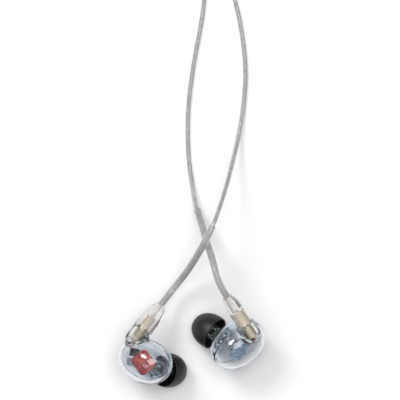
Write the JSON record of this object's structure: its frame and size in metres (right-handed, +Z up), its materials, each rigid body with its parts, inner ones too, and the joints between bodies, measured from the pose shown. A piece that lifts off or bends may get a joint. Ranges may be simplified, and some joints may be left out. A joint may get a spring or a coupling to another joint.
{
  "type": "in-ear monitors",
  "caption": "Pair of over-ear in-ear monitors with clear shells, soft ear tips, swivelling push-fit cable ends, chin slider, splitter and a stereo plug.",
  "frame": {"origin": "on the surface the set lies on, under the middle of the box of the two earpieces with their cable boots", "axes": "+Z up from the surface, +Y along the cords away from the earpieces, +X from the right earpiece (wearer's right) towards the left one"},
  "size_m": [0.0574, 0.331, 0.0306],
  "materials": {
    "clear_shell": "clear polished plastic",
    "blue_shell": "clear polished plastic with a pale blue tint",
    "clear_nozzle": "clear polished plastic",
    "clear_boot": "translucent flexible grip",
    "clear_sleeve": "translucent formable sleeve",
    "clear_cord": "clear jacket over twisted grey conductors",
    "black_tip": "soft matte silicone",
    "red_carrier": "translucent moulded plastic",
    "blue_carrier": "translucent moulded plastic",
    "driver_steel": "drawn metal can",
    "gold": "gold plated",
    "insulator": "moulded insulator",
    "board": "circuit board",
    "duct": "clear tube",
    "mesh": "fine woven mesh",
    "damper": "moulded damper",
    "wire": "enamelled wire",
    "grey_fitting": "moulded fitting",
    "plug_body": "moulded housing"
  },
  "bodies": {
    "cable": {"right_plug_shell": "gold", "right_plug_insulator": "insulator", "right_plug_pin": "gold", "right_boot": "clear_boot", "right_memory_sleeve": "clear_sleeve", "right_ear_cord": "clear_cord", "right_cord_coil": "clear_cord", "left_plug_shell": "gold", "left_plug_insulator": "insulator", "left_plug_pin": "gold", "left_boot": "clear_boot", "left_memory_sleeve": "clear_sleeve", "left_ear_cord": "clear_cord", "left_cord_coil": "clear_cord", "splitter": "grey_fitting", "splitter_relief": "clear_sleeve", "main_cord": "clear_cord", "main_cord_coil": "clear_cord", "plug_relief": "clear_sleeve", "plug_housing": "plug_body", "plug_sleeve_contact": "gold", "plug_ring_contact": "gold", "plug_tip_contact": "gold", "plug_insulators": "insulator"},
    "right_tip": {"right_ear_tip": "black_tip"},
    "right_ring": {"right_snap_ring": "gold"},
    "right_earpiece": {"right_outer_shell": "clear_shell", "right_inner_shell": "blue_shell", "right_nozzle": "clear_nozzle", "right_nozzle_damper": "damper", "right_nozzle_mesh": "mesh", "right_woofer_driver": "driver_steel", "right_tweeter_driver": "driver_steel", "right_crossover_board": "board", "right_sound_duct": "duct", "right_socket_barrel": "gold", "right_socket_insulator": "insulator", "right_socket_contact": "gold", "right_wiring": "wire", "right_driver_carrier": "red_carrier"},
    "left_tip": {"left_ear_tip": "black_tip"},
    "left_ring": {"left_snap_ring": "gold"},
    "left_earpiece": {"left_outer_shell": "clear_shell", "left_inner_shell": "blue_shell", "left_nozzle": "clear_nozzle", "left_nozzle_damper": "damper", "left_nozzle_mesh": "mesh", "left_woofer_driver": "driver_steel", "left_tweeter_driver": "driver_steel", "left_crossover_board": "board", "left_sound_duct": "duct", "left_socket_barrel": "gold", "left_socket_insulator": "insulator", "left_socket_contact": "gold", "left_wiring": "wire", "left_driver_carrier": "blue_carrier"},
    "slider": {"chin_slider": "grey_fitting"}
  },
  "joints": [
    {"name": "right_swivel", "type": "hinge", "parent": "cable", "child": "right_ring", "pos_m": [-0.01916, 0.00411, 0.0176], "axis": [0.5417, 0.7054, -0.4571], "continuous": true},
    {"name": "right_unplug", "type": "slide", "parent": "right_ring", "child": "right_earpiece", "axis": [-0.5417, -0.7054, 0.4571], "range_m": [0, 0.006]},
    {"name": "right_tip_pull", "type": "slide", "parent": "right_earpiece", "child": "right_tip", "axis": [0.6803, -0.0637, -0.7302], "range_m": [0, 0.008]},
    {"name": "left_swivel", "type": "hinge", "parent": "cable", "child": "left_ring", "pos_m": [0.02044, 0.00681, 0.02367], "axis": [-0.5199, 0.7978, 0.3052], "continuous": true},
    {"name": "left_unplug", "type": "slide", "parent": "left_ring", "child": "left_earpiece", "axis": [0.5199, -0.7978, -0.3052], "range_m": [0, 0.006]},
    {"name": "left_tip_pull", "type": "slide", "parent": "left_earpiece", "child": "left_tip", "axis": [-0.7725, 0.4797, -0.4161], "range_m": [0, 0.008]},
    {"name": "slider_slide", "type": "slide", "parent": "cable", "child": "slider", "axis": [0, 1, 0], "range_m": [0, 0.018]}
  ]
}
